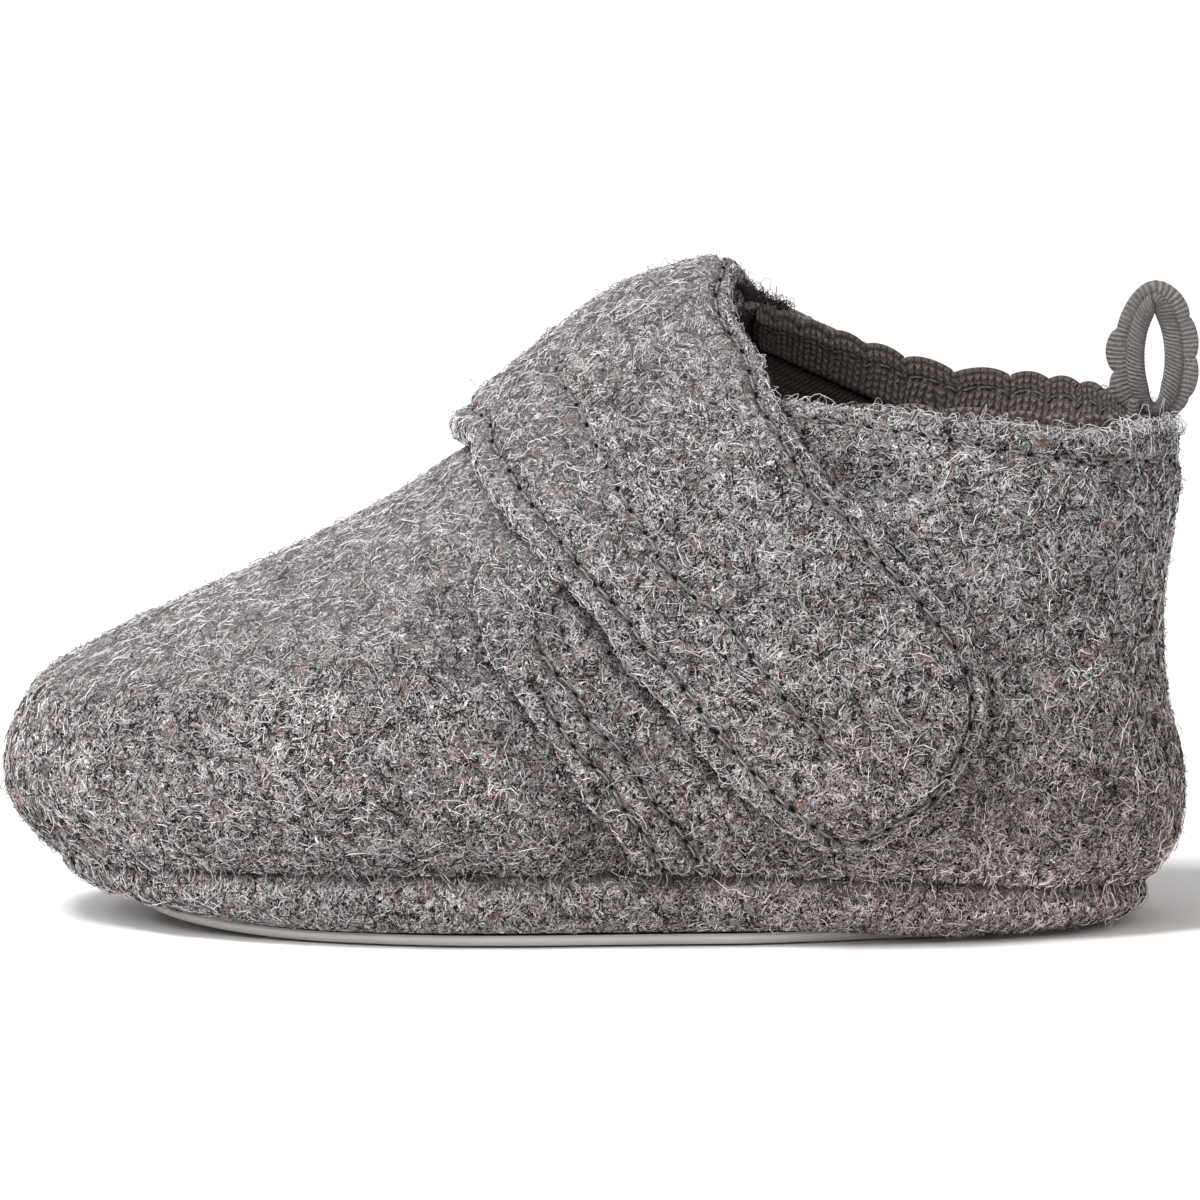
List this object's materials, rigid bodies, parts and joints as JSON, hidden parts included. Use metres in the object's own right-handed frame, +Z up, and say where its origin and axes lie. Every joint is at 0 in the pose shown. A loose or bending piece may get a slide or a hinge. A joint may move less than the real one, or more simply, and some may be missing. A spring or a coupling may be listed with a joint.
{
  "type": "baby slipper",
  "caption": "Baby's ankle-high house slipper for the left foot, of thick boiled wool, with a wide strap over the instep, a pull loop at the heel and a thin flat sole.",
  "frame": {"origin": "on the floor, under the middle of the slipper's length and on the straight middle line of its heel half", "axes": "+X from toe to heel, +Y from the outer to the inner side of the foot, +Z up from the floor"},
  "size_m": [0.1314, 0.061, 0.073],
  "materials": {
    "outsole_rubber": "smooth, half matt",
    "boiled_wool": "hairy, matt, mottled grey",
    "insole_felt": "matt felt",
    "elastic_tape": "matt knitted elastic",
    "loop_tape": "ribbed woven edging"
  },
  "bodies": {
    "root": {"outsole": "outsole_rubber", "wool_sole": "boiled_wool", "insole": "insole_felt", "upper": "boiled_wool", "quarter_facing": "boiled_wool", "strap": "boiled_wool", "collar_tape": "elastic_tape", "pull_loop": "loop_tape"}
  },
  "joints": []
}
